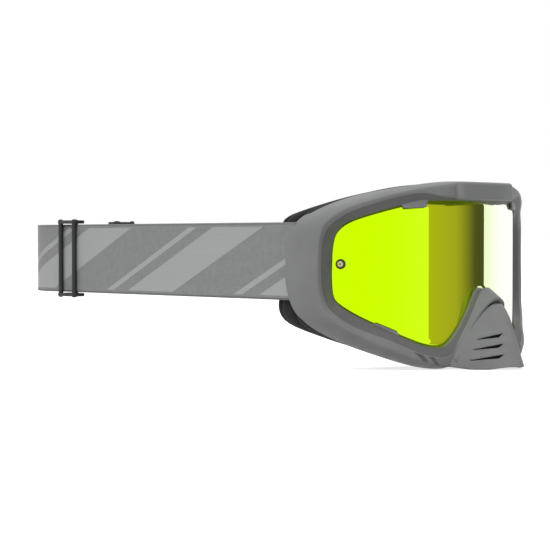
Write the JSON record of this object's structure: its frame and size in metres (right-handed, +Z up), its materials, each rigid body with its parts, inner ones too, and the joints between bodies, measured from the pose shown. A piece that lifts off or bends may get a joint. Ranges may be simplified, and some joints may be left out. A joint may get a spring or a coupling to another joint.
{
  "type": "motorcycle goggles",
  "caption": "Off-road goggles: flexible frame, cylindrical mirrored lens, pull-off nose guard, layered face foam and an elastic strap with tri-glide sliders.",
  "frame": {"origin": "middle of the assembly's base: centred left to right and front to back, at the lowest point of the chin", "axes": "+X to the wearer's left, +Y towards the back of the head, +Z up"},
  "size_m": [0.194, 0.3774, 0.1079],
  "materials": {
    "frame": "matte injection-moulded flexible polyurethane, mid grey",
    "guard": "matte moulded grey",
    "lens": "yellow-green mirror coating, glossy",
    "post": "cream moulded nylon",
    "ring": "black rubber",
    "vent_foam": "open-cell black filter foam",
    "face_foam": "closed face foam, black",
    "fleece": "brushed black fleece",
    "strap": "woven elastic webbing, grey",
    "silicone": "silicone grip line",
    "slider": "black acetal",
    "pin": "steel pin"
  },
  "bodies": {
    "frame": {"frame": "frame", "brow_plate": "frame", "lens": "lens", "tear_off_post_left": "post", "tear_off_post_right": "post", "post_ring_left": "ring", "post_ring_right": "ring", "top_vent_foam": "vent_foam", "bottom_vent_foam_left": "vent_foam", "bottom_vent_foam_right": "vent_foam", "face_foam_firm": "face_foam", "face_foam_soft": "face_foam", "face_fleece": "fleece", "ear_pin_left": "pin", "ear_pin_right": "pin", "strap_anchor_left": "strap", "strap_anchor_right": "strap", "strap_side_left": "strap", "strap_side_right": "strap"},
    "nose_guard": {"nose_guard": "guard"},
    "strap_rear": {"strap_rear_left": "strap", "strap_rear_right": "strap", "strap_ramp_left": "strap", "strap_ramp_right": "strap", "grip_beads": "silicone"},
    "left_slider": {"left_slider": "slider", "strap_loop_right": "strap"},
    "right_slider": {"right_slider": "slider", "strap_loop_left": "strap"}
  },
  "joints": [
    {"name": "strap_stretch", "type": "slide", "parent": "frame", "child": "strap_rear", "axis": [0, 1, 0], "range_m": [0, 0.05], "stiffness_N_per_m": 250, "deforming": ["strap_side_left", "strap_side_right"]},
    {"name": "left_slider_travel", "type": "slide", "parent": "strap_rear", "child": "left_slider", "axis": [1, 0, 0], "range_m": [-0.008, 0.01], "deforming": ["strap_ramp_right"]},
    {"name": "right_slider_travel", "type": "slide", "parent": "strap_rear", "child": "right_slider", "axis": [-0.0593, -0.9982, 0], "range_m": [-0.008, 0.01], "deforming": ["strap_ramp_left"]},
    {"name": "nose_guard_pull", "type": "slide", "parent": "frame", "child": "nose_guard", "axis": [0, -1, 0], "range_m": [0, 0.03]}
  ]
}
